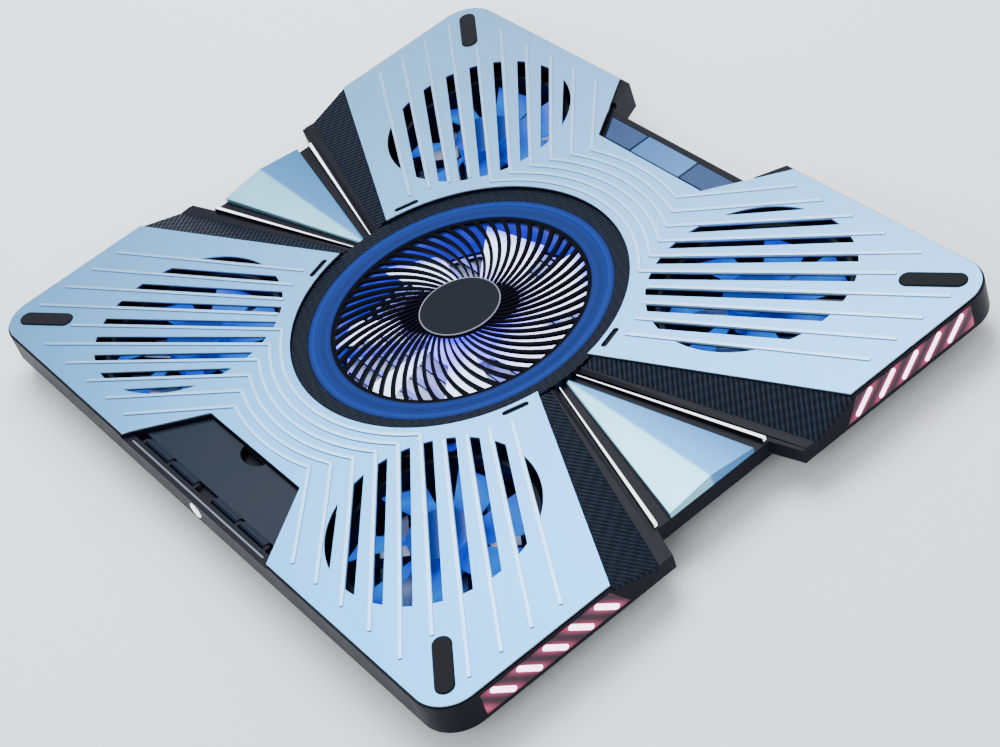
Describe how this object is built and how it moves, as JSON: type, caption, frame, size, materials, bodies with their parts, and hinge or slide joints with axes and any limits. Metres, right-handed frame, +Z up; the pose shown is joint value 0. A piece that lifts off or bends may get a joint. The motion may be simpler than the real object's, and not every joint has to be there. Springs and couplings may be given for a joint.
{
  "type": "laptop cooling pad",
  "caption": "Flat cooling pad for a laptop: silver slotted top plates over lit fans, flip-up front stop, rear keys and fold-out legs underneath.",
  "frame": {"origin": "centre of the pad's footprint, at the underside of its feet", "axes": "+X along the long sides, -Y towards the user's side with the flap, +Z up"},
  "size_m": [0.4026, 0.3176, 0.0308],
  "materials": {
    "brushed_plate": "satin brushed, cool tint",
    "silver_cover": "silver lacquer",
    "black_case": "fine grain",
    "textured_panel": "fine diagonal ribs",
    "blue_light": "clear blue, lit from below",
    "white_light": "opal white, lit",
    "pink_light": "opal, lit pink",
    "smoked_lens": "smoked",
    "soft_rubber": "matt",
    "lit_blades": "milky, lit blue and white",
    "fan_plastic": "plain",
    "motor_copper": "wound",
    "circuit_board": "lacquered",
    "slate_gloss": "semi gloss slate",
    "display_glass": "steel blue window",
    "steel": "plated"
  },
  "bodies": {
    "case": {"bottom_shell": "black_case", "case_screws": "steel", "centre_bezel": "textured_panel", "control_board": "circuit_board", "corner_pad_left_front": "soft_rubber", "corner_pad_left_rear": "soft_rubber", "corner_pad_right_front": "soft_rubber", "corner_pad_right_rear": "soft_rubber", "deck": "black_case", "display_module": "circuit_board", "display_window": "display_glass", "fan_frame_left_front": "fan_plastic", "fan_frame_left_rear": "fan_plastic", "fan_frame_right_front": "fan_plastic", "fan_frame_right_rear": "fan_plastic", "fan_screws": "steel", "flap_pins": "steel", "hub_cap": "slate_gloss", "led_board": "circuit_board", "leg_pins": "steel", "light_ring": "blue_light", "main_fan_frame": "fan_plastic", "main_fan_stator": "motor_copper", "power_switch": "circuit_board", "ridge_cover_left": "silver_cover", "ridge_cover_right": "silver_cover", "rubber_feet": "soft_rubber", "side_lens_left_front": "smoked_lens", "side_lens_left_rear": "smoked_lens", "side_lens_right_front": "smoked_lens", "side_lens_right_rear": "smoked_lens", "side_lights_left_front": "pink_light", "side_lights_left_rear": "pink_light", "side_lights_right_front": "pink_light", "side_lights_right_rear": "pink_light", "small_fan_stators": "motor_copper", "spiral_grille": "black_case", "top_plate_front": "brushed_plate", "top_plate_rear": "brushed_plate", "usb_socket_left": "steel", "usb_socket_right": "steel", "wedge_light_left_front": "white_light", "wedge_light_left_rear": "white_light", "wedge_light_right_front": "white_light", "wedge_light_right_rear": "white_light", "wedge_panel_left_front": "textured_panel", "wedge_panel_left_rear": "textured_panel", "wedge_panel_right_front": "textured_panel", "wedge_panel_right_rear": "textured_panel"},
    "main_rotor": {"main_fan_rotor": "lit_blades"},
    "front_flap": {"front_flap": "slate_gloss"},
    "power_button": {"power_button": "white_light"},
    "key_right": {"key_right": "slate_gloss"},
    "key_left": {"key_left": "slate_gloss"},
    "stand_leg_right": {"stand_leg_right": "black_case"},
    "stand_leg_left": {"stand_leg_left": "black_case"},
    "rotor_right_rear": {"fan_rotor_right_rear": "lit_blades"},
    "rotor_right_front": {"fan_rotor_right_front": "lit_blades"},
    "rotor_left_rear": {"fan_rotor_left_rear": "lit_blades"},
    "rotor_left_front": {"fan_rotor_left_front": "lit_blades"}
  },
  "joints": [
    {"name": "main_fan_spin", "type": "hinge", "parent": "case", "child": "main_rotor", "pos_m": [0, 0, 0.014], "axis": [0, 0, 1], "continuous": true},
    {"name": "fan_spin_right_rear", "type": "hinge", "parent": "case", "child": "rotor_right_rear", "pos_m": [0.1072, 0.0934, 0.014], "axis": [0, 0, 1], "continuous": true},
    {"name": "fan_spin_right_front", "type": "hinge", "parent": "case", "child": "rotor_right_front", "pos_m": [0.1072, -0.0934, 0.014], "axis": [0, 0, 1], "continuous": true},
    {"name": "fan_spin_left_rear", "type": "hinge", "parent": "case", "child": "rotor_left_rear", "pos_m": [-0.1072, 0.0934, 0.014], "axis": [0, 0, 1], "continuous": true},
    {"name": "fan_spin_left_front", "type": "hinge", "parent": "case", "child": "rotor_left_front", "pos_m": [-0.1072, -0.0934, 0.014], "axis": [0, 0, 1], "continuous": true},
    {"name": "flap_hinge", "type": "hinge", "parent": "case", "child": "front_flap", "pos_m": [0, -0.1504, 0.0252], "axis": [1, 0, 0], "range_deg": [0, 95]},
    {"name": "leg_hinge_right", "type": "hinge", "parent": "case", "child": "stand_leg_right", "pos_m": [0.172, 0.118, 0.005], "axis": [1, 0, 0], "range_deg": [0, 105]},
    {"name": "leg_hinge_left", "type": "hinge", "parent": "case", "child": "stand_leg_left", "pos_m": [-0.172, 0.118, 0.005], "axis": [1, 0, 0], "range_deg": [0, 105]},
    {"name": "power_button_press", "type": "slide", "parent": "case", "child": "power_button", "axis": [0, 1, 0], "range_m": [0, 0.0008], "stiffness_N_per_m": 600},
    {"name": "key_press_right", "type": "slide", "parent": "case", "child": "key_right", "axis": [0, 0, -1], "range_m": [0, 0.0006], "stiffness_N_per_m": 800},
    {"name": "key_press_left", "type": "slide", "parent": "case", "child": "key_left", "axis": [0, 0, -1], "range_m": [0, 0.0006], "stiffness_N_per_m": 800}
  ]
}
